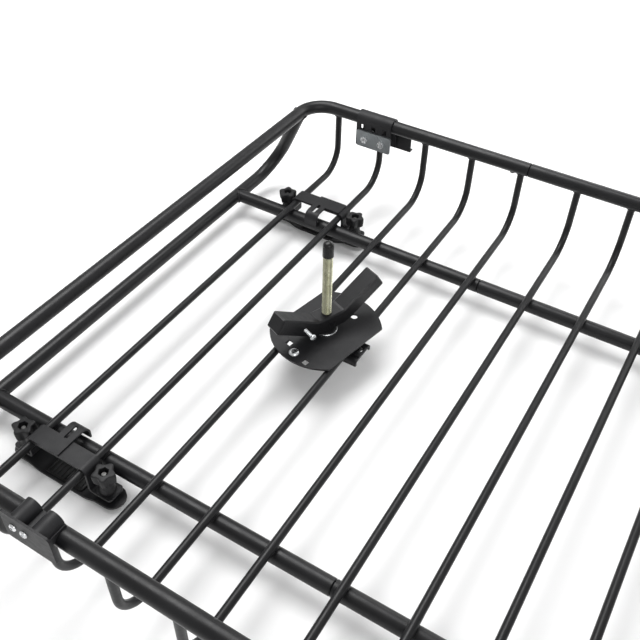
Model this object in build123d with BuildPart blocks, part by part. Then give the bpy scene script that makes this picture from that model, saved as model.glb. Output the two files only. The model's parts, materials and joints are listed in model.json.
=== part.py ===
from build123d import *

import os
from math import cos, radians, sin

os.makedirs("parts", exist_ok=True)

# Roof cargo basket in two halves, with four crossbar clamps, a wheel carrier on the
# floor and two accessory brackets on the side rails.
# Origin: middle of the basket, on the plane of its lowest faces (the clamp straps).
# +X runs along the side rails, +Y across the basket, +Z up. Millimetres.
# Heights in the clamps, the carrier and the brackets are from the floor slats' axes.

# ---- basket ----
TUBE_R = 12.7  # one-inch tube: rails, long tubes and end tubes
TUBE_WALL = 1.6
SLAT_R = 6.35  # half-inch tube: cross slats
SLAT_WALL = 1.2
SLAT_FIRST_X = 54.4  # first slat each side of the middle
SLAT_PITCH = 98.3
SLATS_PER_HALF = 5
SLAT_BEND = 52.0  # centre-line radius where a slat turns up
SLAT_Z = 60.0  # height of the floor slats' axes
RAIL_Z = SLAT_Z + 131.0
RAIL_X = 508.0  # end runs of the upper rail
RAIL_Y = 508.0  # side runs of the upper rail
RAIL_BEND = 52.0
LONG_Y = 327.0  # the two long tubes under the slats
LONG_Z = SLAT_Z - SLAT_R - TUBE_R
END_X = 580.0  # lower run of an end tube
END_BEND_Y = 466.0  # where an end tube turns up into its struts
END_BEND = 70.0
STRUT_TOP_Y = 456.0
JOINT_X = 38.0  # shoulder of a spigot: +X on the near side, -X on the far side
JOINT_GAP = 2.5
SPIGOT_LENGTH = 50.0
SPIGOT_CONE = 2.0
SPIGOT_R = TUBE_R - TUBE_WALL - 0.2
JOINT_SCREW_AT = 33.0  # from the shoulder of the spigot
JOINT_SCREW_R = 3.0
JOINT_HEAD_R = 5.0
JOINT_HEAD = 1.8

# ---- crossbar clamps ----
CLAMP_X = SLAT_FIRST_X + 3.5 * SLAT_PITCH  # midway between the two outer slats
CLAMP_Y = 359.5
CLAMP_WIDTH = 31.0
SHEET_T = 4.0
FOOT_TOP = -34.0
FOOT_END = 96.0
FOOT_CORNER = 6.0
CLAMP_BOLT_X = 79.0
CLAMP_BOLT_R = 4.0
CLAMP_BOLT_TIP = 3.0
FOOT_HOLE_R = 4.5
HOOK_T = 3.0
HOOK_LEFT = -50.0
HOOK_RIGHT = 8.0
HOOK_CORNER = 2.0
HOOK_CURL = 11.0  # inner radius of the curl
ARM_LEFT = -19.0
ARM_RIGHT = 8.0
LIP_GAP = 0.6  # between the lip and the side of the long tube
LIP_LOW = -12.0
SLOT_LENGTH = 26.0
SLOT_WIDTH = 6.0
SLOT_FROM_EDGE = 10.0
STRAP_T = 4.0
STRAP_R = 19.5  # half width, and the radius of the round ends
STRAP_HALF = 105.0
STRAP_TOP = -48.0
STRAP_DIP = 8.0
STRAP_FLAT_X = 64.0  # the dip's slopes run from here
STRAP_DIP_X = 45.0  # to here
STRAP_BEND = 30.0
PAD_T = 5.0
PAD_HALF = 37.0
PAD_WIDTH = 30.0
PAD_CORNER = 4.0
KNOB_LOW = FOOT_TOP + 0.2
KNOB_TOP = 8.0
KNOB_HEAD = 21.0
KNOB_R = 18.2
KNOB_LOBES = 5
SCOOP_R = 8.5
SCOOP_AT = 22.0
LOBE_CORNER = 2.6
SKIRT_R = 12.5
SKIRT_TAPER = 7
KNOB_BORE_R = CLAMP_BOLT_R + 0.06
RECESS_R = 8.0
RECESS_DEPTH = 10.0

# ---- wheel carrier ----
CARRIER_X = -(SLAT_FIRST_X + 1.5 * SLAT_PITCH)  # midway between two slats
CARRIER_Y = 53.0
STUD_R = 7.94  # five-eighths-inch stud
STUD_LOW = -22.0
STUD_TOP = 188.0
CAP_LOW = 168.0
CAP_TOP = 195.0
CAP_R = 9.0
CAP_ROUND = 5.0
BASE_HALF_X = 72.0
BASE_HALF_Y = 25.0
BASE_LOW = -18.0
CLIP_T = 2.5
CLIP_HALF_Y = 13.0
CLIP_REACH = 22.0
CLIP_WRAP = SLAT_R - 0.4  # inner bend of a clip over a slat
CLIP_SCREW_X = 15.5  # from the slat's axis
CLIP_SCREW_R = 3.0
STUD_NUT_R = 13.7
STUD_NUT = 6.0
DISC_R = 94.0
DISC_FLAT = 67.0  # from the stud to either of the two flats
DISC_TURN = 78.0  # direction of the flats, degrees from +X
DISC_LOW = SLAT_R + CLIP_T + 0.3
DISC_T = 3.5
DISC_BORE_R = STUD_R + 0.65
DISC_BOLT = (-77.0, -1.0)  # along and across the flats
SQUARE_HOLES = ((-66.0, 20.0), (-79.5, -29.0))
PLATE_HOLE = 10.6
SQUARE_HOLE = 8.6  # for the neck of a carriage bolt
ROUND_HOLE = (55.0, -14.0)
ROUND_HOLE_R = 6.0
DISC_NUT = 6.5
WASHER_R = 19.0
WASHER_T = 2.5
HANDLE_TURN = 68.0
HANDLE_TOP = 51.0
HANDLE_WIDTH = 30.5
HANDLE_T = 28.5
HUB_HALF = 24.5
ARM_OUT = 68.4  # level reach of an arm beyond the hub
ARM_UP = 42.0
HANDLE_EDGE = 2.2
BOSS_R = 17.0
HANDLE_BORE_R = STUD_R + 0.06
HANDLE_GAP = 0.2
LOCK_SCREW_ALONG = -53.5
LOCK_SCREW_Z = 51.0
LOCK_SCREW_R = 2.9
LOCK_SCREW_OUT = 38.5
LOCK_SCREW_IN = 1.0

# ---- accessory brackets ----
SADDLE_X = -359.5
SADDLE_HALF = 38.0
SADDLE_T = 3.4
SADDLE_BEND = TUBE_R - 0.4  # inner bend of the saddle over the rail
SADDLE_LOW = 78.0
SADDLE_SLOT = (9.0, 10.0)  # width and height of a window in the legs
SADDLE_SLOT_Z = 121.0
SADDLE_SLOT_PITCH = 24.0
SIDE_REACH = 536.0  # how far both brackets reach from the middle
CLAMP_PLATE_T = 4.0
CLAMP_PLATE_X = (-394.0, -319.0)
CLAMP_PLATE_Z = (79.0, 114.0)
CLAMP_PLATE_CORNER = 3.0
FAR_BOLTS_X = (-375.5, -338.0)
FAR_BOLT_Z = 97.0
CHANNEL_X = (-398.0, -290.0)
CHANNEL_Z = (76.0, 118.0)
CHANNEL_T = 2.5
RIBS_X = (-265.0, -231.0)
RIB_R = 12.0
RIB_Z = 148.5
SADDLE_BASE_TOP = 147.0
RIB_INNER_Y = 500.0
NEAR_PLATE_T = 3.0
NEAR_PLATE_X = (-286.0, -208.0)
NEAR_PLATE_Z = (112.0, 163.0)
NEAR_PLATE_CORNER = 5.0
NEAR_BOLTS_X = (-268.0, -251.0)
NEAR_BOLT_Z = 142.0
NEAR_BOLT_R = 3.0
NEAR_BOLT_IN = 7.0

# ---- fasteners: hexagons by their corner radius ----
M8_R = 4.0
M8_HEX_R = 7.5
M8_HEAD = 5.3
M8_HOLE_R = 4.3
M6_HEAD_R = 5.5
M6_HEAD = 3.3
CARRIAGE_NECK = 8.2
CARRIAGE_HEAD_R = 9.0
CARRIAGE_HEAD = 4.0
HEAD_OVERLAP = 1.0  # how far a shank starts inside its domed head


def finish(builder, name):
    """Label a finished sub-part and write its STEP file."""
    builder.part.label = name
    export_step(builder.part, f"parts/{name}.step")


def tube_profile(radius, wall):
    """Draw the ring that is swept into a tube in the active sketch."""
    Circle(radius)
    Circle(radius - wall, mode=Mode.SUBTRACT)


def cylinder(radius, base, direction, length, mode=Mode.ADD):
    """Add or cut a cylinder from a base point along a direction."""
    with BuildSketch(Plane(origin=base, z_dir=direction)) as disc:
        Circle(radius)
    extrude(disc.sketch, amount=length, mode=mode)


def hexagon(radius, base, direction, length, mode=Mode.ADD):
    """Add or cut a hexagonal prism from a base point along a direction."""
    with BuildSketch(Plane(origin=base, z_dir=direction)) as outline:
        RegularPolygon(radius, 6)
    extrude(outline.sketch, amount=length, mode=mode)


def dome(radius, height, base, direction):
    """Add a domed head whose flat face is at the base point."""
    axis = Vector(*direction)
    side = Vector(1, 0, 0) if abs(axis.X) < 0.5 else Vector(0, 1, 0)
    with BuildSketch(Plane(origin=base, x_dir=side, z_dir=side.cross(axis))) as outline:
        with BuildLine():
            Line((0, 0), (radius, 0))
            ThreePointArc((radius, 0), (radius * 0.8, height * 0.66), (radius / 4, height))
            Polyline((radius / 4, height), (0, height), (0, 0))
        make_face()
    revolve(outline.sketch, axis=Axis(base, direction))


def carriage_bolt(seat, up, length, neck, turned=0.0):
    """Add a carriage bolt: domed head on the seat, square neck and shank on its up side."""
    root = (seat[0], seat[1], seat[2] - up * HEAD_OVERLAP)
    dome(CARRIAGE_HEAD_R, CARRIAGE_HEAD, seat, (0, 0, -up))
    cylinder(M8_R, root, (0, 0, up), length + HEAD_OVERLAP)
    with BuildSketch(Plane(origin=root).rotated((0, 0, turned))) as square:
        Rectangle(CARRIAGE_NECK, CARRIAGE_NECK)
    extrude(square.sketch, amount=up * (neck + HEAD_OVERLAP))


# ---------------------------------------------------------------- slats
# A slat is one tube: a floor run, a bend at each side and two risers coped to the rails.


def make_slat(x, name):
    with BuildPart() as slat:
        with BuildLine(Plane.YZ.offset(x)) as route:
            FilletPolyline(
                (-RAIL_Y, RAIL_Z),
                (-RAIL_Y, SLAT_Z),
                (RAIL_Y, SLAT_Z),
                (RAIL_Y, RAIL_Z),
                radius=SLAT_BEND,
            )
        with BuildSketch(Plane(origin=(x, -RAIL_Y, RAIL_Z), z_dir=(0, 0, -1))):
            tube_profile(SLAT_R, SLAT_WALL)
        sweep(path=route.line)
        for side in (-1, 1):
            start = (x - 2 * SLAT_R, side * RAIL_Y, RAIL_Z)
            cylinder(TUBE_R, start, (1, 0, 0), 4 * SLAT_R, Mode.SUBTRACT)
    finish(slat, name)


slat_xs = [SLAT_FIRST_X + SLAT_PITCH * n for n in range(SLATS_PER_HALF)]
slat_xs = [-x for x in reversed(slat_xs)] + slat_xs
for number, slat_x in enumerate(slat_xs, 1):
    make_slat(slat_x, f"slat_{number:02d}")


# ---------------------------------------------------------------- upper rail
# Each half is a U with one plain end, the socket, and one swaged end, the spigot.
# The halves are one part, turned 180 degrees about Z. end is -1 for the left half.


def rail_solid(end, profile):
    """Sweep a profile from the socket end of a half rail to the shoulder of its spigot."""
    socket_x = end * (JOINT_X + JOINT_GAP)
    with BuildLine() as route:
        FilletPolyline(
            (socket_x, -end * RAIL_Y, RAIL_Z),
            (end * RAIL_X, -end * RAIL_Y, RAIL_Z),
            (end * RAIL_X, end * RAIL_Y, RAIL_Z),
            (-end * JOINT_X, end * RAIL_Y, RAIL_Z),
            radius=RAIL_BEND,
        )
    start = Plane(origin=(socket_x, -end * RAIL_Y, RAIL_Z), z_dir=(end, 0, 0))
    sweep(start * profile, path=route.line)


def spigot(end, y, z):
    """Add the swaged end of a tube: a short cone from the full tube and the reduced length."""
    inner = SPIGOT_R - TUBE_WALL
    shoulder = Plane(origin=(-end * JOINT_X, y, z), x_dir=(-end, 0, 0), z_dir=(0, end, 0))
    with BuildSketch(shoulder) as section:
        with BuildLine():
            Polyline(
                (0, TUBE_R),
                (SPIGOT_CONE, SPIGOT_R),
                (SPIGOT_LENGTH, SPIGOT_R),
                (SPIGOT_LENGTH, inner),
                (SPIGOT_CONE, inner),
                (0, TUBE_R - TUBE_WALL),
                close=True,
            )
        make_face()
    revolve(section.sketch, axis=Axis((0, y, z), (1, 0, 0)))


def screw_hole(x, y, z):
    """Drill the underside of a tube for a joint screw."""
    cylinder(JOINT_SCREW_R + 0.1, (x, y, z), (0, 0, -1), TUBE_R + 1, Mode.SUBTRACT)


def joint_screw_x(end):
    """Where the screw passes the spigot of the half at this end."""
    return -end * (JOINT_X + JOINT_SCREW_AT)


with BuildSketch() as tube_ring:
    tube_profile(TUBE_R, TUBE_WALL)

with BuildSketch() as tube_disc:
    Circle(TUBE_R)

rail_envelopes = {}
for end, side in ((-1, "left"), (1, "right")):
    with BuildPart() as upper_rail:
        rail_solid(end, tube_ring.sketch)
        spigot(end, end * RAIL_Y, RAIL_Z)
        screw_hole(joint_screw_x(end), end * RAIL_Y, RAIL_Z)
        screw_hole(joint_screw_x(-end), -end * RAIL_Y, RAIL_Z)
    finish(upper_rail, f"upper_rail_{side}")
    with BuildPart() as envelope:
        rail_solid(end, tube_disc.sketch)
    rail_envelopes[end] = envelope.part


# ---------------------------------------------------------------- end tubes and long tubes

for end, side in ((-1, "left"), (1, "right")):
    with BuildPart() as end_tube:
        with BuildLine() as end_route:
            FilletPolyline(
                (end * RAIL_X, -STRUT_TOP_Y, RAIL_Z),
                (end * END_X, -END_BEND_Y, LONG_Z),
                (end * END_X, END_BEND_Y, LONG_Z),
                (end * RAIL_X, STRUT_TOP_Y, RAIL_Z),
                radius=END_BEND,
            )
        with BuildSketch(Plane(origin=end_route.line @ 0, z_dir=end_route.line % 0)):
            tube_profile(TUBE_R, TUBE_WALL)
        sweep(path=end_route.line)
        add(rail_envelopes[end], mode=Mode.SUBTRACT)
    finish(end_tube, f"end_tube_{side}")

for end, side in ((-1, "left"), (1, "right")):
    for across, place in ((-1, "near"), (1, "far")):
        has_spigot = across == end
        start_x = -end * JOINT_X if has_spigot else end * (JOINT_X + JOINT_GAP)
        tube_y = across * LONG_Y
        with BuildPart() as long_tube:
            with BuildSketch(Plane(origin=(start_x, tube_y, LONG_Z), z_dir=(end, 0, 0))):
                tube_profile(TUBE_R, TUBE_WALL)
            extrude(amount=abs(end * END_X - start_x))
            if has_spigot:
                spigot(end, tube_y, LONG_Z)
            screw_hole(joint_screw_x(end if has_spigot else -end), tube_y, LONG_Z)
            cope_start = (end * END_X, tube_y - 2 * TUBE_R, LONG_Z)
            cylinder(TUBE_R, cope_start, (0, 1, 0), 4 * TUBE_R, Mode.SUBTRACT)
        finish(long_tube, f"long_tube_{place}_{side}")

with BuildPart() as joint_screws:
    for end in (-1, 1):
        for tube_y, tube_z in ((end * RAIL_Y, RAIL_Z), (end * LONG_Y, LONG_Z)):
            seat = (joint_screw_x(end), tube_y, tube_z - TUBE_R)
            cylinder(JOINT_HEAD_R, seat, (0, 0, -1), JOINT_HEAD)
            cylinder(JOINT_SCREW_R, seat, (0, 0, 1), 2 * TUBE_WALL + 2)
finish(joint_screws, "joint_screws")


# ---------------------------------------------------------------- crossbar clamps
# turn is 1 for the clamps on the near side and -1 on the far side, where the same parts
# stand turned half round. In its own frame a clamp has the long tube on its +Y side.


def upright(cx, cy, turn):
    """A clamp's side view: local x along the basket, local y up."""
    return Plane(origin=(cx, cy, SLAT_Z), x_dir=(turn, 0, 0), z_dir=(0, -turn, 0))


def level(cx, cy, turn, height):
    """A clamp's plan view at a height."""
    return Plane(origin=(cx, cy, SLAT_Z + height), x_dir=(turn, 0, 0), z_dir=(0, 0, 1))


def make_channel(cx, cy, turn, name):
    """Hat-shaped channel: it wraps over two slats and its feet carry the knobs."""
    wall_x = SLAT_PITCH / 2 + SLAT_R
    low = FOOT_TOP - SHEET_T
    with BuildPart() as channel:
        with BuildSketch(upright(cx, cy, turn)):
            with BuildLine():
                FilletPolyline(
                    (-FOOT_END, low),
                    (-wall_x, low),
                    (-wall_x, SLAT_R),
                    (wall_x, SLAT_R),
                    (wall_x, low),
                    (FOOT_END, low),
                    radius=(2 * SHEET_T, SLAT_R, SLAT_R, 2 * SHEET_T),
                )
                offset(amount=SHEET_T, side=Side.LEFT)
            make_face()
        extrude(amount=CLAMP_WIDTH / 2, both=True)
        uprights = channel.edges().filter_by(Axis.Z)
        fillet(uprights.filter_by(lambda e: abs(e.center().X - cx) > FOOT_END - 1), FOOT_CORNER)
        for bolt_x in (-CLAMP_BOLT_X, CLAMP_BOLT_X):
            hole = (cx + bolt_x, cy, SLAT_Z + low - 1)
            cylinder(FOOT_HOLE_R, hole, (0, 0, 1), SHEET_T + 2, Mode.SUBTRACT)
    finish(channel, name)


def make_strap(cx, cy, turn, name):
    """Lower strap: round ends for the bolts and a shallow dip under the crossbar."""
    dip_z = STRAP_TOP - STRAP_DIP
    with BuildPart() as strap:
        with BuildSketch(upright(cx, cy, turn)):
            with BuildLine():
                FilletPolyline(
                    (-STRAP_HALF, STRAP_TOP),
                    (-STRAP_FLAT_X, STRAP_TOP),
                    (-STRAP_DIP_X, dip_z),
                    (STRAP_DIP_X, dip_z),
                    (STRAP_FLAT_X, STRAP_TOP),
                    (STRAP_HALF, STRAP_TOP),
                    radius=STRAP_BEND,
                )
                offset(amount=STRAP_T, side=Side.RIGHT)
            make_face()
        extrude(amount=STRAP_R, both=True)
        with BuildSketch(level(cx, cy, turn, dip_z - STRAP_T)):
            SlotOverall(2 * STRAP_HALF, 2 * STRAP_R)
        extrude(amount=STRAP_DIP + STRAP_T, mode=Mode.INTERSECT)
        with BuildSketch(level(cx, cy, turn, STRAP_TOP - STRAP_T - 1)):
            with Locations((-CLAMP_BOLT_X, 0), (CLAMP_BOLT_X, 0)):
                Rectangle(SQUARE_HOLE, SQUARE_HOLE)
        extrude(amount=STRAP_T + 2, mode=Mode.SUBTRACT)
    finish(strap, name)


def make_pad(cx, cy, turn, name):
    """Rubber pad bonded in the strap's dip."""
    with BuildPart() as pad:
        with BuildSketch(level(cx, cy, turn, STRAP_TOP - STRAP_DIP)):
            RectangleRounded(2 * PAD_HALF, PAD_WIDTH, PAD_CORNER)
        extrude(amount=PAD_T)
        fillet(pad.faces().sort_by(Axis.Z)[-1].edges(), radius=1)
    finish(pad, name)


def make_clamp_bolts(cx, cy, name):
    """The two carriage bolts of a clamp, heads down."""
    head_z = SLAT_Z + STRAP_TOP - STRAP_T
    shank = SLAT_Z + CLAMP_BOLT_TIP - head_z
    with BuildPart() as bolts:
        for bolt_x in (cx - CLAMP_BOLT_X, cx + CLAMP_BOLT_X):
            carriage_bolt((bolt_x, cy, head_z), 1, shank, STRAP_T)
    finish(bolts, name)


def make_knob(x, y, name):
    """Star knob: lobed head, tapered skirt, through bore and a hexagonal recess on top."""
    top = SLAT_Z + KNOB_TOP
    foot = SLAT_Z + KNOB_LOW
    with BuildPart() as knob:
        with BuildSketch(Plane(origin=(x, y, top))) as star:
            Circle(KNOB_R)
            with PolarLocations(SCOOP_AT, KNOB_LOBES):
                Circle(SCOOP_R, mode=Mode.SUBTRACT)
            fillet(star.vertices(), radius=LOBE_CORNER)
        extrude(amount=-KNOB_HEAD)
        chamfer(knob.faces().filter_by(Axis.Z).edges(), length=1.2)
        with BuildSketch(Plane(origin=(x, y, foot))):
            Circle(SKIRT_R)
        extrude(amount=top - KNOB_HEAD - foot, taper=SKIRT_TAPER)
        hexagon(RECESS_R, (x, y, top), (0, 0, -1), RECESS_DEPTH, Mode.SUBTRACT)
        cylinder(KNOB_BORE_R, (x, y, foot), (0, 0, 1), top - foot, Mode.SUBTRACT)
    finish(knob, name)


corner_names = {
    (-1, -1): "near_left",
    (1, -1): "near_right",
    (-1, 1): "far_left",
    (1, 1): "far_right",
}
for (end, across), corner in corner_names.items():
    center_x = end * CLAMP_X
    center_y = across * CLAMP_Y
    make_channel(center_x, center_y, -across, f"clamp_channel_{corner}")
    make_strap(center_x, center_y, -across, f"clamp_strap_{corner}")
    make_pad(center_x, center_y, -across, f"clamp_pad_{corner}")
    make_clamp_bolts(center_x, center_y, f"clamp_bolts_{corner}")
    make_knob(center_x - end * CLAMP_BOLT_X, center_y, f"knob_inner_{corner}")
    make_knob(center_x + end * CLAMP_BOLT_X, center_y, f"knob_outer_{corner}")

# A hook plate lies on each channel and its arm curls over the long tube.
hook_base = SLAT_R + SHEET_T
hook_reach = CLAMP_Y - LONG_Y + TUBE_R + LIP_GAP
arm_middle = (ARM_LEFT + ARM_RIGHT) / 2
with BuildPart() as clamp_hooks:
    for end, across in corner_names:
        center_x = end * CLAMP_X
        center_y = across * CLAMP_Y
        turn = -across
        with BuildSketch(level(center_x, center_y, turn, hook_base)):
            with Locations(((HOOK_LEFT + HOOK_RIGHT) / 2, 0)):
                RectangleRounded(HOOK_RIGHT - HOOK_LEFT, CLAMP_WIDTH, HOOK_CORNER)
        extrude(amount=HOOK_T)
        arm_view = Plane(
            origin=(center_x + turn * ARM_LEFT, center_y, SLAT_Z),
            x_dir=(0, turn, 0),
            z_dir=(turn, 0, 0),
        )
        with BuildSketch(arm_view):
            with BuildLine():
                FilletPolyline(
                    (0, hook_base),
                    (hook_reach, hook_base),
                    (hook_reach, LIP_LOW),
                    radius=HOOK_CURL,
                )
                offset(amount=HOOK_T, side=Side.LEFT)
            make_face()
        extrude(amount=ARM_RIGHT - ARM_LEFT)
        with BuildSketch(level(center_x, center_y, turn, hook_base)):
            with Locations((arm_middle, CLAMP_WIDTH / 2 + SLOT_FROM_EDGE)):
                SlotOverall(SLOT_LENGTH, SLOT_WIDTH, rotation=90)
        extrude(amount=2 * HOOK_T, both=True, mode=Mode.SUBTRACT)
finish(clamp_hooks, "clamp_hooks")


# ---------------------------------------------------------------- wheel carrier


def stud_point(height, x=0.0, y=0.0):
    """A point by its height and its distance from the stud's axis."""
    return (CARRIER_X + x, CARRIER_Y + y, SLAT_Z + height)


def disc_point(height, along, across):
    """A point on the hold-down plate, measured along and across its flats."""
    plate = Plane(origin=stud_point(height)).rotated((0, 0, DISC_TURN))
    return tuple(plate.from_local_coords((along, across, 0)))


clip_xs = (-SLAT_PITCH / 2, SLAT_PITCH / 2)
screw_xs = [x + side * CLIP_SCREW_X for x in clip_xs for side in (-1, 1)]
clip_foot_top = CLIP_T - SLAT_R
base_bottom = -SLAT_R - SHEET_T

with BuildPart() as carrier_base:
    with BuildSketch(Plane(origin=stud_point(0, -BASE_HALF_X), x_dir=(0, 1, 0), z_dir=(1, 0, 0))):
        with BuildLine():
            FilletPolyline(
                (-BASE_HALF_Y, BASE_LOW),
                (-BASE_HALF_Y, -SLAT_R),
                (BASE_HALF_Y, -SLAT_R),
                (BASE_HALF_Y, BASE_LOW),
                radius=1.5 * SHEET_T,
            )
            offset(amount=SHEET_T, side=Side.RIGHT)
        make_face()
    extrude(amount=2 * BASE_HALF_X)
    cylinder(STUD_R + 0.4, stud_point(BASE_LOW), (0, 0, 1), -BASE_LOW, Mode.SUBTRACT)
    for screw_x in screw_xs:
        hole = stud_point(BASE_LOW, screw_x)
        cylinder(CLIP_SCREW_R + 0.2, hole, (0, 0, 1), -BASE_LOW, Mode.SUBTRACT)
finish(carrier_base, "carrier_base")

with BuildPart() as carrier_clips:
    for clip_x in clip_xs:
        clip_view = Plane(
            origin=stud_point(0, clip_x, CLIP_HALF_Y),
            x_dir=(1, 0, 0),
            z_dir=(0, -1, 0),
        )
        with BuildSketch(clip_view):
            with BuildLine():
                FilletPolyline(
                    (-CLIP_REACH, -SLAT_R),
                    (-SLAT_R, -SLAT_R),
                    (-SLAT_R, SLAT_R),
                    (SLAT_R, SLAT_R),
                    (SLAT_R, -SLAT_R),
                    (CLIP_REACH, -SLAT_R),
                    radius=(1.5 * CLIP_T, CLIP_WRAP, CLIP_WRAP, 1.5 * CLIP_T),
                )
                offset(amount=CLIP_T, side=Side.LEFT)
            make_face()
        extrude(amount=2 * CLIP_HALF_Y)
    for screw_x in screw_xs:
        hole = stud_point(-SLAT_R - 1, screw_x)
        cylinder(CLIP_SCREW_R + 0.2, hole, (0, 0, 1), CLIP_T + 2, Mode.SUBTRACT)
finish(carrier_clips, "carrier_clips")

with BuildPart() as carrier_fasteners:
    for screw_x in screw_xs:
        seat = stud_point(clip_foot_top, screw_x)
        cylinder(M6_HEAD_R, seat, (0, 0, 1), M6_HEAD)
        cylinder(CLIP_SCREW_R, seat, (0, 0, -1), clip_foot_top - BASE_LOW)
        nut_face = stud_point(base_bottom, screw_x)
        hexagon(M6_HEAD_R, nut_face, (0, 0, -1), M6_HEAD + 1)
    hexagon(STUD_NUT_R, stud_point(-SLAT_R), (0, 0, 1), STUD_NUT)
    hexagon(STUD_NUT_R, stud_point(base_bottom), (0, 0, -1), STUD_NUT)
    cylinder(STUD_R + 0.05, stud_point(STUD_LOW), (0, 0, 1), -STUD_LOW, Mode.SUBTRACT)
finish(carrier_fasteners, "carrier_fasteners")

with BuildPart() as carrier_stud:
    cylinder(STUD_R, stud_point(STUD_LOW), (0, 0, 1), STUD_TOP - STUD_LOW)
    chamfer(carrier_stud.faces().filter_by(Axis.Z).edges(), length=1)
finish(carrier_stud, "carrier_stud")

with BuildPart() as stud_cap:
    cylinder(CAP_R, stud_point(CAP_LOW), (0, 0, 1), CAP_TOP - CAP_LOW)
    fillet(stud_cap.faces().sort_by(Axis.Z)[-1].edges(), radius=CAP_ROUND)
    cylinder(STUD_R + 0.05, stud_point(CAP_LOW), (0, 0, 1), STUD_TOP - CAP_LOW, Mode.SUBTRACT)
finish(stud_cap, "stud_cap")

disc_plane = Plane(origin=stud_point(DISC_LOW)).rotated((0, 0, DISC_TURN))
with BuildPart() as hold_down_plate:
    with BuildSketch(disc_plane):
        Circle(DISC_R)
        Rectangle(2 * DISC_R, 2 * DISC_FLAT, mode=Mode.INTERSECT)
        Circle(DISC_BORE_R, mode=Mode.SUBTRACT)
        with Locations(*SQUARE_HOLES):
            Rectangle(PLATE_HOLE, PLATE_HOLE, mode=Mode.SUBTRACT)
        with Locations(DISC_BOLT):
            Rectangle(SQUARE_HOLE, SQUARE_HOLE, mode=Mode.SUBTRACT)
        with Locations(ROUND_HOLE):
            Circle(ROUND_HOLE_R, mode=Mode.SUBTRACT)
    extrude(amount=DISC_T)
finish(hold_down_plate, "hold_down_plate")

with BuildPart() as plate_bolt:
    head_base = disc_point(DISC_LOW + DISC_T, *DISC_BOLT)
    carriage_bolt(head_base, -1, DISC_T + DISC_NUT + 2, DISC_T, DISC_TURN)
    hexagon(M8_HEX_R, disc_point(DISC_LOW, *DISC_BOLT), (0, 0, -1), DISC_NUT)
finish(plate_bolt, "plate_bolt")

washer_low = DISC_LOW + DISC_T
with BuildPart() as hub_washer:
    cylinder(WASHER_R, stud_point(washer_low), (0, 0, 1), WASHER_T)
    chamfer(hub_washer.faces().sort_by(Axis.Z)[-1].edges(), length=0.6)
    cylinder(DISC_BORE_R, stud_point(washer_low), (0, 0, 1), WASHER_T, Mode.SUBTRACT)
finish(hub_washer, "hub_washer")

turn_x = cos(radians(HANDLE_TURN))
turn_y = sin(radians(HANDLE_TURN))
handle_view = Plane(origin=stud_point(0), x_dir=(turn_x, turn_y, 0), z_dir=(turn_y, -turn_x, 0))
boss_low = washer_low + WASHER_T + HANDLE_GAP
with BuildPart() as handle:
    with BuildSketch(handle_view):
        with BuildLine():
            Polyline(
                (-HUB_HALF - ARM_OUT, HANDLE_TOP + ARM_UP),
                (-HUB_HALF, HANDLE_TOP),
                (HUB_HALF, HANDLE_TOP),
                (HUB_HALF + ARM_OUT, HANDLE_TOP + ARM_UP),
            )
            offset(amount=HANDLE_T, side=Side.RIGHT)
        make_face()
    extrude(amount=HANDLE_WIDTH / 2, both=True)
    chamfer(handle.edges(), length=HANDLE_EDGE)
    cylinder(BOSS_R, stud_point(boss_low), (0, 0, 1), HANDLE_TOP - HANDLE_T / 2 - boss_low)
    cylinder(HANDLE_BORE_R, stud_point(boss_low), (0, 0, 1), HANDLE_TOP, Mode.SUBTRACT)
    with BuildSketch(handle_view.offset(-LOCK_SCREW_IN)):
        with Locations((LOCK_SCREW_ALONG, LOCK_SCREW_Z)):
            Circle(LOCK_SCREW_R)
    extrude(amount=HANDLE_WIDTH, mode=Mode.SUBTRACT)
finish(handle, "handle")

with BuildPart() as lock_screw:
    with BuildSketch(handle_view.offset(-LOCK_SCREW_IN)):
        with Locations((LOCK_SCREW_ALONG, LOCK_SCREW_Z)):
            Circle(LOCK_SCREW_R)
    extrude(amount=LOCK_SCREW_OUT + LOCK_SCREW_IN)
    with BuildSketch(handle_view.offset(LOCK_SCREW_OUT - M6_HEAD)):
        with Locations((LOCK_SCREW_ALONG, LOCK_SCREW_Z)):
            Circle(M6_HEAD_R)
    extrude(amount=M6_HEAD)
    fillet(lock_screw.edges().filter_by(GeomType.CIRCLE).sort_by(SortBy.RADIUS)[-2:], radius=0.6)
finish(lock_screw, "lock_screw")


# ---------------------------------------------------------------- far rail bracket
# A saddle over the rail, a clamp plate inboard and a channel outboard, on two bolts.

inner_leg_y = RAIL_Y - TUBE_R - SADDLE_T
outer_leg_y = RAIL_Y + TUBE_R + SADDLE_T
plate_y = inner_leg_y - CLAMP_PLATE_T


def block(xs, ys, zs, mode=Mode.ADD):
    """Add or cut a box by its limits, heights from the slats' axes."""
    middle = [(low + high) / 2 for low, high in (xs, ys)]
    with BuildSketch(Plane(origin=(*middle, SLAT_Z + zs[0]))) as base:
        Rectangle(xs[1] - xs[0], ys[1] - ys[0])
    extrude(base.sketch, amount=zs[1] - zs[0], mode=mode)


def bolt_holes(xs, height, y_from, y_to):
    """Cut clearance holes across the basket for the bracket bolts."""
    for x in xs:
        start = (x, y_from, SLAT_Z + height)
        cylinder(M8_HOLE_R, start, (0, 1, 0), y_to - y_from, Mode.SUBTRACT)


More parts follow.
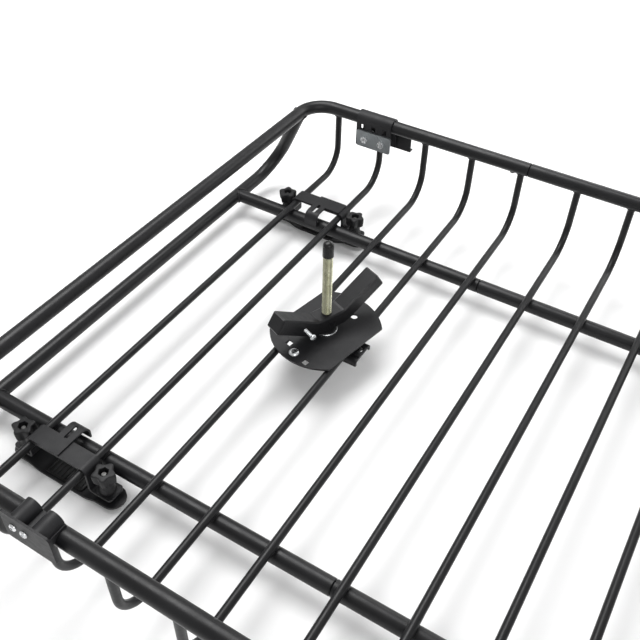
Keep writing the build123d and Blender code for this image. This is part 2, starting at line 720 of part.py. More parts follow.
saddle_view = Plane(
    origin=(SADDLE_X - SADDLE_HALF, RAIL_Y, SLAT_Z),
    x_dir=(0, 1, 0),
    z_dir=(1, 0, 0),
)
with BuildPart() as far_saddle:
    with BuildSketch(saddle_view):
        with BuildLine():
            FilletPolyline(
                (-TUBE_R, SADDLE_LOW),
                (-TUBE_R, RAIL_Z - SLAT_Z + TUBE_R),
                (TUBE_R, RAIL_Z - SLAT_Z + TUBE_R),
                (TUBE_R, SADDLE_LOW),
                radius=SADDLE_BEND,
            )
            offset(amount=SADDLE_T, side=Side.LEFT)
        make_face()
    extrude(amount=2 * SADDLE_HALF)
    for step in (-1, 0, 1):
        slot_x = SADDLE_X + step * SADDLE_SLOT_PITCH
        half_width = SADDLE_SLOT[0] / 2
        half_height = SADDLE_SLOT[1] / 2
        block(
            (slot_x - half_width, slot_x + half_width),
            (inner_leg_y - 1, outer_leg_y + 1),
            (SADDLE_SLOT_Z - half_height, SADDLE_SLOT_Z + half_height),
            Mode.SUBTRACT,
        )
    bolt_holes(FAR_BOLTS_X, FAR_BOLT_Z, inner_leg_y - 1, outer_leg_y + 1)
finish(far_saddle, "far_saddle")

with BuildPart() as far_channel:
    block(CHANNEL_X, (outer_leg_y, SIDE_REACH), CHANNEL_Z)
    inner_z = (CHANNEL_Z[0] + CHANNEL_T, CHANNEL_Z[1] - CHANNEL_T)
    block(CHANNEL_X, (outer_leg_y + CHANNEL_T, SIDE_REACH), inner_z, Mode.SUBTRACT)
    bolt_holes(FAR_BOLTS_X, FAR_BOLT_Z, outer_leg_y - 1, SIDE_REACH)
finish(far_channel, "far_channel")


# ---------------------------------------------------------------- near rail bracket
# Two half-round ribs over the rail and a thin plate outboard, on two bolts.

near_plate_y = -(SIDE_REACH - M6_HEAD - NEAR_PLATE_T)
saddle_ys = (near_plate_y, -RIB_INNER_Y)
saddle_xs = (RIBS_X[0] - RIB_R - 2, RIBS_X[1] + RIB_R + 2)

with BuildPart() as near_saddle:
    block(saddle_xs, saddle_ys, (RAIL_Z - SLAT_Z, SADDLE_BASE_TOP))
    for rib_x in RIBS_X:
        cylinder(RIB_R, (rib_x, near_plate_y, SLAT_Z + RIB_Z), (0, 1, 0), saddle_ys[1] - saddle_ys[0])
    block(saddle_xs, saddle_ys, (RIB_Z - RIB_R - 1, RAIL_Z - SLAT_Z), Mode.SUBTRACT)
    rail_start = (saddle_xs[0] - 1, -RAIL_Y, RAIL_Z)
    cylinder(TUBE_R, rail_start, (1, 0, 0), saddle_xs[1] - saddle_xs[0] + 2, Mode.SUBTRACT)
    for bolt_x in NEAR_BOLTS_X:
        mouth = (bolt_x, near_plate_y, SLAT_Z + NEAR_BOLT_Z)
        cylinder(NEAR_BOLT_R + 0.1, mouth, (0, 1, 0), NEAR_BOLT_IN + 1, Mode.SUBTRACT)
finish(near_saddle, "near_saddle")

with BuildPart() as near_plate:
    block(NEAR_PLATE_X, (near_plate_y - NEAR_PLATE_T, near_plate_y), NEAR_PLATE_Z)
    fillet(near_plate.edges().filter_by(Axis.Y), radius=NEAR_PLATE_CORNER)
    for bolt_x in NEAR_BOLTS_X:
        mouth = (bolt_x, near_plate_y - NEAR_PLATE_T - 1, SLAT_Z + NEAR_BOLT_Z)
        cylinder(NEAR_BOLT_R + 0.2, mouth, (0, 1, 0), NEAR_PLATE_T + 2, Mode.SUBTRACT)
finish(near_plate, "near_plate")

with BuildPart() as far_plate:
    block(CLAMP_PLATE_X, (plate_y, inner_leg_y), CLAMP_PLATE_Z)
    fillet(far_plate.edges().filter_by(Axis.Y), radius=CLAMP_PLATE_CORNER)
    bolt_holes(FAR_BOLTS_X, FAR_BOLT_Z, plate_y - 1, inner_leg_y + 1)
finish(far_plate, "far_plate")

channel_web_y = outer_leg_y + CHANNEL_T
with BuildPart() as bracket_bolts:
    for bolt_x in FAR_BOLTS_X:
        head_seat = (bolt_x, plate_y, SLAT_Z + FAR_BOLT_Z)
        nut_seat = (bolt_x, channel_web_y, SLAT_Z + FAR_BOLT_Z)
        hexagon(M8_HEX_R, head_seat, (0, -1, 0), M8_HEAD)
        cylinder(M8_R, head_seat, (0, 1, 0), channel_web_y + M8_HEAD + 2 - plate_y)
        hexagon(M8_HEX_R, nut_seat, (0, 1, 0), M8_HEAD)
    for bolt_x in NEAR_BOLTS_X:
        head_seat = (bolt_x, near_plate_y - NEAR_PLATE_T, SLAT_Z + NEAR_BOLT_Z)
        cylinder(M6_HEAD_R, head_seat, (0, -1, 0), M6_HEAD)
        cylinder(NEAR_BOLT_R, head_seat, (0, 1, 0), NEAR_PLATE_T + NEAR_BOLT_IN)
finish(bracket_bolts, "bracket_bolts")
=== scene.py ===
import json
from math import ceil, cos, pi, radians, sin, sqrt, tan

import bpy
from mathutils import Matrix, Vector


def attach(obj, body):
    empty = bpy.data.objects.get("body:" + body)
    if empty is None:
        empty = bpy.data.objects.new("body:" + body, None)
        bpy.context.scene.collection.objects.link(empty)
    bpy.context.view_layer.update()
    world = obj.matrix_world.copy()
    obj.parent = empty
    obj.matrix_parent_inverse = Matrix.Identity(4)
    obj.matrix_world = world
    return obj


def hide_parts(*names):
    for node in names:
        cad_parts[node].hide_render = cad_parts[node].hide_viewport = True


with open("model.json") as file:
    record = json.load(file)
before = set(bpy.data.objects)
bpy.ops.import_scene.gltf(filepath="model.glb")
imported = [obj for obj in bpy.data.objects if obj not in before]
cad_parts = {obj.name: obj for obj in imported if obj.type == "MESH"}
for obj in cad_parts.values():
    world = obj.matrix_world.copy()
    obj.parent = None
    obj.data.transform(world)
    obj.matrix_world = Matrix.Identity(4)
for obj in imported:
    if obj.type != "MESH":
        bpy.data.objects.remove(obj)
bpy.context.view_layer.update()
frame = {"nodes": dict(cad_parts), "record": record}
NODES = frame["nodes"]
MM = 0.001

# ---- sizes that the detailed pieces share with the CAD, in millimetres ----
SLAT_Z = 60.0
RAIL_Z = SLAT_Z + 131.0
RAIL_X = 508.0
RAIL_Y = 508.0
TUBE_R = 12.7
SLAT_R = 6.35
LONG_Y = 327.0
LONG_Z = SLAT_Z - SLAT_R - TUBE_R
END_X = 580.0
END_BEND_Y = 466.0
STRUT_TOP_Y = 456.0
SLAT_XS = [side * (54.4 + 98.3 * n) for side in (-1, 1) for n in range(5)]
CLAMP_X = 54.4 + 3.5 * 98.3
CLAMP_Y = 359.5
CLAMP_BOLT_X = 79.0
CORNERS = {"near_left": (-1, -1), "near_right": (1, -1), "far_left": (-1, 1), "far_right": (1, 1)}
STUD_X = -(54.4 + 1.5 * 98.3)
STUD_Y = 53.0
STUD_R = 7.94
STUD_PITCH = 2.309
STUD_LOW = SLAT_Z - 22.0
STUD_HIGH = SLAT_Z + 188.0
M8_R = 4.0
M8_PITCH = 1.25
M8_HEX_R = 7.5  # corner radius of the bolt heads and nuts
M8_HEAD = 5.3
BOLT_SEAT_Z = SLAT_Z - 52.0  # underside of the straps' flat ends, where the bolt heads bear
PAD_Z = SLAT_Z - 56.0
PAD_HALF = (37.0, 15.0)
PAD_T = 5.0
PAD_RIBS = 9


# ---------------------------------------------------------------- materials


class Shader:
    """A material under construction: a Principled shader with object coordinates at hand."""

    def __init__(self, name):
        self.material = bpy.data.materials.new(name)
        self.material.use_nodes = True
        self.nodes = self.material.node_tree.nodes
        self.links = self.material.node_tree.links
        self.bsdf = self.nodes["Principled BSDF"]
        self.coords = self.nodes.new("ShaderNodeTexCoord").outputs["Object"]

    def link(self, source, target):
        self.links.new(source, target)
        return source

    def noise(self, scale, detail=3.0, rough=0.55, stretch=None):
        source = self.coords
        if stretch:
            mapping = self.nodes.new("ShaderNodeMapping")
            mapping.inputs["Scale"].default_value = stretch
            self.link(source, mapping.inputs["Vector"])
            source = mapping.outputs["Vector"]
        node = self.nodes.new("ShaderNodeTexNoise")
        node.inputs["Scale"].default_value = scale
        node.inputs["Detail"].default_value = detail
        node.inputs["Roughness"].default_value = rough
        self.link(source, node.inputs["Vector"])
        return node.outputs["Fac"]

    def ramp(self, value, stops):
        node = self.nodes.new("ShaderNodeValToRGB")
        elements = node.color_ramp.elements
        while len(elements) < len(stops):
            elements.new(0.5)
        for element, (place, colour) in zip(elements, stops):
            element.position = place
            element.color = (*colour, 1.0) if hasattr(colour, "__len__") else (colour,) * 3 + (1.0,)
        self.link(value, node.inputs["Fac"])
        return node.outputs["Color"]

    def remap(self, value, low, high, start=0.3, stop=0.7):
        node = self.nodes.new("ShaderNodeMapRange")
        node.inputs["From Min"].default_value = start
        node.inputs["From Max"].default_value = stop
        node.inputs["To Min"].default_value = low
        node.inputs["To Max"].default_value = high
        self.link(value, node.inputs["Value"])
        return node.outputs["Result"]

    def mix(self, factor, first, second, blend="MIX"):
        node = self.nodes.new("ShaderNodeMix")
        node.data_type = "RGBA"
        node.blend_type = blend
        for value, socket in ((factor, node.inputs[0]), (first, node.inputs[6]), (second, node.inputs[7])):
            if isinstance(value, bpy.types.NodeSocket):
                self.link(value, socket)
            elif hasattr(value, "__len__"):
                socket.default_value = (*value, 1.0)
            else:
                socket.default_value = value
        return node.outputs[2]

    def bump(self, heights):
        """Chain bumps: each is (value, strength, distance in metres)."""
        normal = None
        for value, strength, distance in heights:
            node = self.nodes.new("ShaderNodeBump")
            node.inputs["Strength"].default_value = strength
            node.inputs["Distance"].default_value = distance
            self.link(value, node.inputs["Height"])
            if normal:
                self.link(normal, node.inputs["Normal"])
            normal = node.outputs["Normal"]
        self.link(normal, self.bsdf.inputs["Normal"])

    def set(self, **values):
        for name, value in values.items():
            socket = self.bsdf.inputs[name.replace("_", " ")]
            if isinstance(value, bpy.types.NodeSocket):
                self.link(value, socket)
            else:
                socket.default_value = value
        return self


def coated_steel(name, dark, light, rough, peel, peel_scale, dust):
    """Black powder coat or paint: orange peel, uneven gloss, a breath of dust and fine rubs."""
    s = Shader(name)
    cloud = s.noise(14, 4)
    tone = s.mix(s.remap(cloud, 0, 1), dark, light)
    specks = s.ramp(s.noise(420, 2, 0.7), [(0.0, 0.0), (0.66, 0.0), (0.74, 1.0)])
    powder = s.mix(1.0, specks, s.ramp(s.noise(5, 3), [(0.4, 0.2), (0.7, 1.0)]), "MULTIPLY")
    dusty = tuple(c + dust for c in light)
    colour = s.mix(s.remap(powder, 0, 0.75, 0.0, 1.0), tone, dusty)
    rubs = s.noise(60, 5, 0.65, (1.0, 1.0, 3.0))
    s.set(Base_Color=colour, Roughness=s.remap(rubs, rough - 0.07, rough + 0.09))
    s.set(Specular_IOR_Level=0.3)
    peel_height = s.noise(peel_scale, 2, 0.5)
    s.bump([(peel_height, peel, 0.0004), (s.noise(90, 3), 0.05, 0.0006)])
    return s.material


def moulded(name, dark, light, rough, grain, grain_scale):
    """Plastic or rubber: a fine moulded grain, handling sheen and faint bloom."""
    s = Shader(name)
    tone = s.mix(s.remap(s.noise(35, 4), 0, 1), dark, light)
    bloom = s.remap(s.noise(11, 3), 0.0, 0.35, 0.5, 0.8)
    s.set(Base_Color=s.mix(bloom, tone, tuple(c * 1.6 for c in light)))
    s.set(Roughness=s.remap(s.noise(70, 4), rough - 0.08, rough + 0.1), Specular_IOR_Level=0.3)
    s.bump([(s.noise(grain_scale, 3, 0.7), grain, 0.0003)])
    return s.material


def plated(name, dark, light, stain, rough):
    """Plated steel: brushed streaks, dull patches and small stains."""
    s = Shader(name)
    streaks = s.noise(260, 4, 0.6, (1.0, 1.0, 0.12))
    tone = s.mix(s.remap(s.noise(45, 4), 0, 1), dark, light)
    spots = s.ramp(s.noise(150, 3, 0.7), [(0.0, 0.0), (0.6, 0.0), (0.7, 1.0)])
    s.set(Base_Color=s.mix(s.remap(spots, 0, 0.6, 0.0, 1.0), tone, stain), Metallic=1.0)
    s.set(Roughness=s.remap(streaks, rough - 0.08, rough + 0.14))
    s.bump([(streaks, 0.05, 0.0001), (s.noise(700, 2), 0.04, 0.0001)])
    return s.material


MATERIALS = {
    "powder_coat": coated_steel(
        "powder_coat", (0.0045, 0.0045, 0.005), (0.009, 0.009, 0.010), 0.36, 0.20, 620, 0.012
    ),
    "bracket_coat": coated_steel(
        "bracket_coat", (0.007, 0.007, 0.008), (0.013, 0.013, 0.0145), 0.48, 0.28, 800, 0.016
    ),
    "cast_coat": coated_steel(
        "cast_coat", (0.005, 0.005, 0.006), (0.011, 0.011, 0.012), 0.36, 0.45, 340, 0.012
    ),
    "black_steel": coated_steel(
        "black_steel", (0.007, 0.007, 0.008), (0.015, 0.015, 0.016), 0.34, 0.12, 900, 0.012
    ),
    "knob_plastic": moulded(
        "knob_plastic", (0.008, 0.008, 0.0085), (0.015, 0.015, 0.016), 0.50, 0.35, 1500
    ),
    "cap_rubber": moulded(
        "cap_rubber", (0.004, 0.004, 0.004), (0.008, 0.008, 0.008), 0.20, 0.06, 900
    ),
    "rubber": moulded(
        "rubber", (0.004, 0.004, 0.004), (0.008, 0.008, 0.008), 0.42, 0.2, 900
    ),
    "zinc": plated(
        "zinc", (0.58, 0.60, 0.61), (0.82, 0.83, 0.84), (0.46, 0.45, 0.42), 0.22
    ),
    "sheet_zinc": plated(
        "sheet_zinc", (0.27, 0.29, 0.30), (0.34, 0.36, 0.37), (0.24, 0.24, 0.23), 0.34
    ),
    "dull_zinc": plated(
        "dull_zinc", (0.07, 0.07, 0.07), (0.13, 0.13, 0.125), (0.05, 0.045, 0.04), 0.45
    ),
    "yellow_zinc": plated(
        "yellow_zinc", (0.34, 0.34, 0.22), (0.60, 0.60, 0.47), (0.20, 0.20, 0.09), 0.24
    ),
}
for part in frame["record"]["subparts"]:
    shown = NODES[part["node"]]
    shown.data.materials.clear()
    shown.data.materials.append(MATERIALS[part["material_slot"]])
NODES["far_plate"].data.materials[0] = MATERIALS["sheet_zinc"]


# ---------------------------------------------------------------- mesh helpers


class Mesh:
    """Vertices and faces of one piece, in millimetres, built from rings and swept lines."""

    def __init__(self):
        self.verts = []
        self.faces = []

    def rings(self, rings, closed=False, cap=(True, True)):
        """Join rings of equal length; closed joins the last to the first."""
        base = len(self.verts)
        count = len(rings[0])
        for ring in rings:
            self.verts.extend(ring)
        pairs = len(rings) if closed else len(rings) - 1
        for i in range(pairs):
            low = base + i * count
            high = base + ((i + 1) % len(rings)) * count
            for j in range(count):
                k = (j + 1) % count
                self.faces.append((low + j, low + k, high + k, high + j))
        if not closed:
            for wanted, start, order in ((cap[0], base, -1), (cap[1], base + (len(rings) - 1) * count, 1)):
                if wanted:
                    face = [start + j for j in range(count)]
                    self.faces.append(tuple(face[::order]))

    def sweep(self, points, radii, sides=8):
        """A round bar along a line of points, closed at both ends; a loop if the ends meet."""
        points = [Vector(p) for p in points]
        looped = (points[0] - points[-1]).length < 1e-6
        if looped:
            points = points[:-1]
        rings = []
        normal = None
        count = len(points)
        for i, point in enumerate(points):
            ahead = points[(i + 1) % count] if looped or i + 1 < count else point
            behind = points[i - 1] if looped or i else point
            tangent = (ahead - behind).normalized()
            if normal is None:
                normal = tangent.orthogonal().normalized()
            normal = (normal - tangent * normal.dot(tangent)).normalized()
            side = tangent.cross(normal)
            radius = radii[i] if hasattr(radii, "__len__") else radii
            rings.append([
                tuple(point + radius * (cos(a) * normal + sin(a) * side))
                for a in (2 * pi * j / sides for j in range(sides))
            ])
        self.rings(rings, closed=looped)

    def piece(self, name, body, slot, place=None, replaces=(), smooth_angle=40, finish=None):
        """Make the Blender object, seated by a placement matrix, riding on a body."""
        place = place or Matrix.Identity(4)
        data = bpy.data.meshes.new(name)
        data.from_pydata([place @ Vector(v) * MM for v in self.verts], [], self.faces)
        data.update()
        data.validate()
        data.materials.append(MATERIALS[finish or slot])
        obj = bpy.data.objects.new(name, data)
        bpy.context.scene.collection.objects.link(obj)
        data.shade_smooth()
        data.set_sharp_from_angle(angle=radians(smooth_angle))
        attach(obj, body)
        if replaces:
            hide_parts(*replaces)
        return obj


def at(x, y, z):
    return Matrix.Translation((x, y, z))


def facing(origin, direction):
    """Placement whose +Z runs along a direction."""
    turn = Vector(direction).to_track_quat("Z", "Y").to_matrix().to_4x4()
    return Matrix.Translation(origin) @ turn


def seat(place, verts):
    return [tuple(place @ Vector(v)) for v in verts]


def circle(radius, z, sides):
    return [(radius * cos(2 * pi * j / sides), radius * sin(2 * pi * j / sides), z) for j in range(sides)]


def hexagon(corner, z, sides, drop=None):
    """A hexagon sampled round; drop lowers each point by its reach beyond a chamfer circle."""
    ring = []
    for j in range(sides):
        a = 2 * pi * j / sides
        reach = corner * cos(pi / 6) / cos((a % (pi / 3)) - pi / 6)
        fall = 0.0 if drop is None else max(0.0, reach - drop) * tan(radians(30))
        ring.append((reach * cos(a), reach * sin(a), z - fall))
    return ring


def thread_rings(major, pitch, low, high, sides=28, per_turn=6, depth=0.54):
    """Rings of a screw thread; the ends run out to the root."""
    root = major - depth * pitch
    count = max(2, ceil((high - low) / pitch * per_turn))
    rings = []
    for i in range(count + 1):
        z = low + (high - low) * i / count
        end_room = min(z - low, high - z) / (0.8 * pitch)
        crest = root + (major - root) * min(1.0, end_room)
        ring = []
        for j in range(sides):
            a = 2 * pi * j / sides
            phase = (z / pitch - a / (2 * pi)) % 1.0
            rise = min(1.0, 2.4 * min(phase, 1.0 - phase))
            radius = root + (crest - root) * rise
            ring.append((radius * cos(a), radius * sin(a), z))
        rings.append(ring)
    return rings


def add_hex_head(mesh, place, corner, height, both=False):
    """A hexagon head or nut with chamfered corners and a washer face."""
    sides = 48
    flat = corner * cos(pi / 6)
    rings = [circle(flat * 0.96, 0, sides)]
    if both:
        rings.append([(x, y, -z) for x, y, z in hexagon(corner, 0, sides, flat * 0.96)])
    else:
        rings.append(circle(flat * 0.98, 0.45, sides))
        rings.append(hexagon(corner, 0.45, sides))
    rings.append(hexagon(corner, height, sides, flat * 0.94))
    rings.append(circle(flat * 0.92, height, sides))
    rings.append(circle(flat * 0.5, height - (0.0 if both else 0.25), sides))
    mesh.rings([seat(place, r) for r in rings])


# ---------------------------------------------------------------- weld beads


def cope_curve(start, direction, radius, axis_point, axis, other_radius, count=72):
    """Where a tube that runs from start along direction first meets another round tube."""
    start, direction = Vector(start), Vector(direction).normalized()
    axis_point, axis = Vector(axis_point), Vector(axis).normalized()
    first = direction.cross(axis).normalized()
    second = direction.cross(first)
    points = []
    for i in range(count):
        a = 2 * pi * i / count
        base = start + radius * (cos(a) * first + sin(a) * second) - axis_point
        base = base - axis * base.dot(axis)
        step = direction - axis * direction.dot(axis)
        qa, qb = step.dot(step), 2 * base.dot(step)
        qc = base.dot(base) - other_radius**2
        root = sqrt(max(0.0, qb * qb - 4 * qa * qc))
        along = (-qb - root) / (2 * qa)
        edge = start + radius * (cos(a) * first + sin(a) * second) + direction * along
        points.append(edge)
    return points + points[:1]


def ripple(count, size, waves):
    """Radii of a bead with the stacked-coin ripple of a weld."""
    return [size * (1 + 0.16 * abs(sin(pi * waves * i / count)) + 0.06 * sin(2.3 * i)) for i in range(count)]


def bead(mesh, points, size, waves):
    mesh.sweep(points, ripple(len(points), size, waves), sides=10)


rail_welds = Mesh()
for x in SLAT_XS:
    for side in (-1, 1):
        riser = (x, side * RAIL_Y, SLAT_Z + 80)
        rail = (0, side * RAIL_Y, RAIL_Z)
        line = cope_curve(riser, (0, 0, 1), SLAT_R + 0.3, rail, (1, 0, 0), TUBE_R)
        bead(rail_welds, line, 1.7, 15)
rail_welds.piece("weld_beads_rail", "basket", "powder_coat")

end_welds = Mesh()
for end in (-1, 1):
    for side in (-1, 1):
        top = Vector((end * RAIL_X, side * STRUT_TOP_Y, RAIL_Z))
        foot = Vector((end * END_X, side * END_BEND_Y, LONG_Z))
        line = cope_curve(foot, top - foot, TUBE_R + 0.2, (end * RAIL_X, 0, RAIL_Z), (0, 1, 0), TUBE_R)
        bead(end_welds, line, 2.3, 22)
        run = (end * 400, side * LONG_Y, LONG_Z)
        line = cope_curve(run, (end, 0, 0), TUBE_R + 0.2, (end * END_X, 0, LONG_Z), (0, 1, 0), TUBE_R)
        bead(end_welds, line, 2.3, 22)
end_welds.piece("weld_beads_end", "basket", "powder_coat")

floor_welds = Mesh()
for x in SLAT_XS:
    for y in (-LONG_Y, LONG_Y):
        for side in (-1, 1):
            line = []
            for i in range(15):
                dy = -8 + 16 * i / 14
                line.append((x + side * 4.3, y + dy, LONG_Z + sqrt(TUBE_R**2 - dy * dy) + 0.5))
            sizes = [2.1 * sin(pi * (i + 0.7) / 15.4) ** 0.6 for i in range(15)]
            floor_welds.sweep(line, sizes, sides=8)
floor_welds.piece("weld_beads_floor", "basket", "powder_coat")


# ---------------------------------------------------------------- clamps

KNOB_SIDES = 120
KNOB_TOP = SLAT_Z + 8.0
KNOB_LOW = SLAT_Z - 33.8
KNOB_R = 18.2
BORE_R = 4.06


def star(inset, z, depth, shift=0.0):
    """The knob's lobed outline, pulled in by an inset."""
    ring = []
    for j in range(KNOB_SIDES):
        a = 2 * pi * j / KNOB_SIDES
        wave = (1 - cos(5 * (a - shift))) / 2
        radius = KNOB_R - inset - depth * wave**0.85
        ring.append((radius * cos(a), radius * sin(a), z))
    return ring


def knob_mesh(turn):
    top = KNOB_TOP
    neck = [(10.7, -21.4), (10.2, -23.0), (10.3, -26.5), (10.9, -33.0)]
    neck += [(12.0, -39.0), (12.5, -40.5), (12.2, -41.8)]
    rings = [
        circle(BORE_R, KNOB_LOW, KNOB_SIDES),
        circle(BORE_R, top - 10, KNOB_SIDES),
        hexagon(7.7, top - 10, KNOB_SIDES),
        hexagon(7.9, top - 0.7, KNOB_SIDES),
        hexagon(8.7, top, KNOB_SIDES),
        star(6.2, top + 0.0, 2.2, turn),
        star(2.6, top - 0.2, 3.6, turn),
        star(1.2, top - 0.7, 4.4, turn),
        star(0.35, top - 1.6, 4.9, turn),
        star(0.0, top - 3.0, 5.3, turn),
        star(0.1, top - 8.0, 5.6, turn),
        star(0.5, top - 13.0, 5.9, turn),
        star(1.1, top - 18.0, 5.8, turn),
        star(2.2, top - 19.9, 5.0, turn),
        star(4.2, top - 20.9, 3.2, turn),
    ]
    rings += [circle(radius, top + drop, KNOB_SIDES) for radius, drop in neck]
    mesh = Mesh()
    mesh.rings(rings, closed=True)
    return mesh


def add_carriage_bolt(mesh, place, length, neck, radius=M8_R, pitch=M8_PITCH, head_r=9.0, head=4.0):
    """Domed head below the seat, square neck with round corners, threaded shank."""
    sides = 40
    angles = [radians(d) for d in range(84, -1, -12)]
    dome = [circle(head_r * cos(a), -head * sin(a) ** 0.9, sides) for a in angles]
    mesh.rings([seat(place, r) for r in dome])
    square = []
    for z in (-0.5, neck):
        ring = []
        for j in range(sides):
            a = 2 * pi * j / sides
            reach = min(4.05 / max(abs(cos(a)), abs(sin(a))), 5.2)
            ring.append((reach * cos(a), reach * sin(a), z))
        square.append(ring)
    mesh.rings([seat(place, r) for r in square])
    mesh.rings([seat(place, r) for r in thread_rings(radius, pitch, neck - 0.5, length)])


def ribbed_pad(half_x, half_y, height, ribs):
    """Rubber pad: rounded outline with grooves across it."""
    mesh = Mesh()
    outline = []
    for cx, cy, start in ((1, 1, 0), (-1, 1, 90), (-1, -1, 180), (1, -1, 270)):
        for step in range(7):
            a = radians(start + 15 * step)
            outline.append((cx * (half_x - 4) + 4 * cos(a), cy * (half_y - 4) + 4 * sin(a)))
    rings = []
    for z, inset in ((0, 0), (height * 0.55, 0), (height * 0.66, 0.8), (height * 0.7, 2.0)):
        rings.append([(x * (1 - inset / half_x), y * (1 - inset / half_y), z) for x, y in outline])
    mesh.rings(rings)
    for n in range(ribs):
        x = -half_x + 6 + (2 * half_x - 12) * n / (ribs - 1)
        half_rib = [(1.7, height * 0.6), (1.3, height * 0.93), (0.8, height)]
        profile = [(-dx, z) for dx, z in half_rib] + half_rib[::-1]
        mesh.rings([[(x + dx, y, z) for dx, z in profile] for y in (-half_y + 2.2, half_y - 2.2)])
    return mesh


for index, (corner, (sx, sy)) in enumerate(CORNERS.items()):
    clamp_x, clamp_y = sx * CLAMP_X, sy * CLAMP_Y
    for role, sign in (("inner", -1), ("outer", 1)):
        x = clamp_x + sx * sign * CLAMP_BOLT_X
        spin = radians(17 + 29 * index + 41 * (sign > 0))
        knob_mesh(spin).piece(
            f"star_knob_{role}_{corner}", f"{role}_{corner}", "knob_plastic", at(x, clamp_y, 0),
            [f"knob_{role}_{corner}"], 32,
        )
    bolts = Mesh()
    for sign in (-1, 1):
        add_carriage_bolt(bolts, at(clamp_x + sign * CLAMP_BOLT_X, clamp_y, BOLT_SEAT_Z), 54.8, 4.0)
    bolts.piece(
        f"carriage_bolts_{corner}", f"strap_{corner}", "zinc",
        replaces=[f"clamp_bolts_{corner}"], finish="dull_zinc",
    )
    pad = ribbed_pad(*PAD_HALF, PAD_T, PAD_RIBS)
    pad.piece(
        f"rubber_pad_{corner}", f"strap_{corner}", "rubber", at(clamp_x, clamp_y, PAD_Z),
        [f"clamp_pad_{corner}"],
    )


# ---------------------------------------------------------------- wheel carrier

stud = Mesh()
stud.rings(thread_rings(STUD_R, STUD_PITCH, STUD_LOW, STUD_HIGH, sides=36, per_turn=12))
stud.piece("threaded_stud", "basket", "yellow_zinc", at(STUD_X, STUD_Y, 0), ["carrier_stud"], 24)

cap = Mesh()
cap_profile = [(7.99, 168.0), (8.9, 168.0), (9.0, 168.8), (8.9, 170.2), (8.8, 176), (8.7, 188.4)]
cap_profile += [(8.7 * cos(radians(a)), 188.4 + 6.6 * sin(radians(a))) for a in range(8, 88, 8)]
cap_profile += [(0.2, 195.0), (0.2, 188.1), (7.99, 188.0)]
cap.rings([circle(r, SLAT_Z + z, 48) for r, z in cap_profile], closed=True)
cap.piece("rubber_stud_cap", "basket", "rubber", at(STUD_X, STUD_Y, 0), ["stud_cap"], 60, "cap_rubber")


def lock_screw_mesh():
    """An M6 screw whose low head stands clear of the handle."""
    mesh = Mesh()
    mesh.rings(thread_rings(2.9, 1.0, -0.5, 35.7, per_turn=6))
    profile = [(2.2, 35.2), (5.3, 35.2), (5.5, 35.5), (5.5, 36.4), (5.1, 37.5), (4.0, 38.3), (3.0, 38.5)]
    rings = [circle(r, z, 48) for r, z in profile]
    rings += [hexagon(2.4, 38.5, 48), hexagon(2.2, 36.7, 48)]
    mesh.rings(rings)
    return mesh


HANDLE_TURN = radians(68)
along = Vector((cos(HANDLE_TURN), sin(HANDLE_TURN), 0))
across = Vector((sin(HANDLE_TURN), -cos(HANDLE_TURN), 0))
screw_seat = Vector((STUD_X, STUD_Y, SLAT_Z + 51.0)) - along * 53.5
screw_place = facing(screw_seat, across)
lock_screw_mesh().piece("pan_lock_screw", "carrier_handle", "zinc", screw_place, ["lock_screw"])


# ---------------------------------------------------------------- bracket bolts

FAR_BOLTS_X = (-375.5, -338.0)
FAR_BOLT_Z = SLAT_Z + 97.0
FAR_HEAD_Y = 487.9
FAR_NUT_Y = 526.6
FAR_BOLT_END = 533.7
NEAR_BOLTS_X = (-268.0, -251.0)
NEAR_BOLT_Z = SLAT_Z + 142.0
NEAR_HEAD_Y = -532.7
NEAR_BOLT_LENGTH = 9.8


def add_pan_head(mesh, place, radius, height):
    """A low round head with a hexagon socket."""
    profile = [(radius * 0.5, 0.0), (radius * 0.98, 0.0), (radius, 0.3), (radius * 0.96, height * 0.5)]
    profile += [(radius * 0.8, height * 0.85), (radius * 0.6, height)]
    rings = [circle(r, z, 48) for r, z in profile]
    rings += [hexagon(radius * 0.42, height, 48), hexagon(radius * 0.4, height * 0.35, 48)]
    mesh.rings([seat(place, r) for r in rings])


bolts = Mesh()
for x in FAR_BOLTS_X:
    outward = facing((x, FAR_HEAD_Y, FAR_BOLT_Z), (0, 1, 0))
    add_hex_head(bolts, facing((x, FAR_HEAD_Y, FAR_BOLT_Z), (0, -1, 0)), M8_HEX_R, M8_HEAD)
    add_hex_head(bolts, facing((x, FAR_NUT_Y, FAR_BOLT_Z), (0, 1, 0)), M8_HEX_R, M8_HEAD, both=True)
    rod = thread_rings(M8_R, M8_PITCH, 0, FAR_BOLT_END - FAR_HEAD_Y)
    bolts.rings([seat(outward, r) for r in rod])
for x in NEAR_BOLTS_X:
    add_pan_head(bolts, facing((x, NEAR_HEAD_Y, NEAR_BOLT_Z), (0, -1, 0)), 5.5, 3.2)
    inward = facing((x, NEAR_HEAD_Y, NEAR_BOLT_Z), (0, 1, 0))
    bolts.rings([seat(inward, r) for r in thread_rings(3.0, 1.0, 0, NEAR_BOLT_LENGTH)])
bolts.piece("bracket_bolts_threaded", "basket", "zinc", None, ["bracket_bolts"], 30)


# ---------------------------------------------------------------- stage, light and camera

FLOOR_HALF = 6.0
FLOOR_Z = -0.0006  # just under the straps, so that the faces don't share a plane

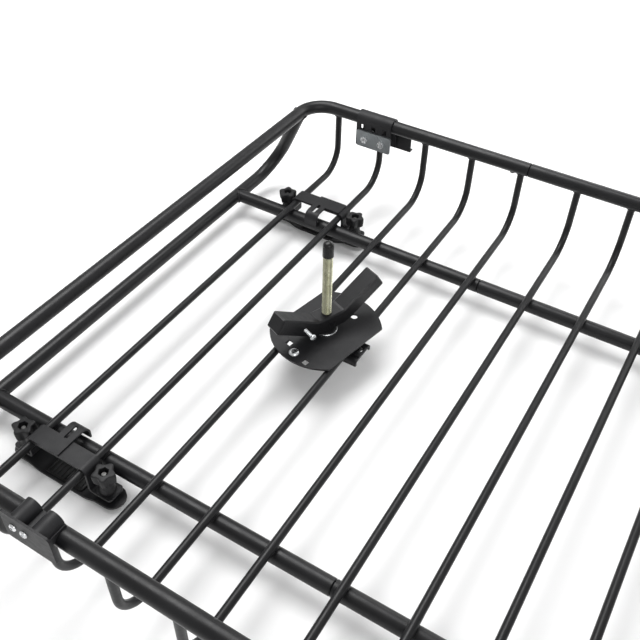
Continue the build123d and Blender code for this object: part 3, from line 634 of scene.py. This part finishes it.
floor_data = bpy.data.meshes.new("floor")
floor_corners = [(sx * FLOOR_HALF, sy * FLOOR_HALF, 0) for sx, sy in ((-1, -1), (1, -1), (1, 1), (-1, 1))]
floor_data.from_pydata(floor_corners, [], [(0, 1, 2, 3)])
floor = bpy.data.objects.new("floor", floor_data)
floor.location.z = FLOOR_Z
bpy.context.scene.collection.objects.link(floor)
paper = Shader("paper")
paper.set(Base_Color=paper.mix(paper.remap(paper.noise(1.5), 0, 1), (0.86, 0.86, 0.86), (0.90, 0.90, 0.90)))
paper.set(Roughness=0.9, Specular_IOR_Level=0.1)
floor_data.materials.append(paper.material)

world = bpy.data.worlds.new("studio")
world.use_nodes = True
world.node_tree.nodes["Background"].inputs["Color"].default_value = (1.0, 1.0, 1.0, 1.0)
world.node_tree.nodes["Background"].inputs["Strength"].default_value = 0.6
bpy.context.scene.world = world


def area_light(name, place, target, size_x, size_y, power):
    data = bpy.data.lights.new(name, "AREA")
    data.shape = "RECTANGLE"
    data.size = size_x
    data.size_y = size_y
    data.energy = power
    lamp = bpy.data.objects.new(name, data)
    lamp.location = place
    lamp.rotation_euler = (Vector(target) - Vector(place)).to_track_quat("-Z", "Y").to_euler()
    bpy.context.scene.collection.objects.link(lamp)


area_light("key", (-1.0, 0.6, 2.6), (0, 0, 0), 2.2, 1.4, 70)
area_light("fill", (1.8, -1.6, 1.8), (0, 0, 0.1), 1.6, 1.6, 24)
area_light("rim", (0.4, 2.6, 1.3), (0, 0, 0.1), 2.6, 0.8, 26)

camera_data = bpy.data.cameras.new("camera")
camera_data.lens = 45.79
camera_data.sensor_width = 36.0
camera = bpy.data.objects.new("camera", camera_data)
forward = Vector((-0.3688, 0.6260, -0.6871)).normalized()
right = Vector((0.8536, 0.5207, 0.0162))
right = (right - forward * right.dot(forward)).normalized()
up = right.cross(forward)
turn = Matrix((right, up, -forward)).transposed().to_4x4()
camera.matrix_world = Matrix.Translation((0.2853, -0.7943, 1.016)) @ turn
bpy.context.scene.collection.objects.link(camera)
bpy.context.scene.camera = camera
bpy.context.scene.view_settings.view_transform = "Standard"
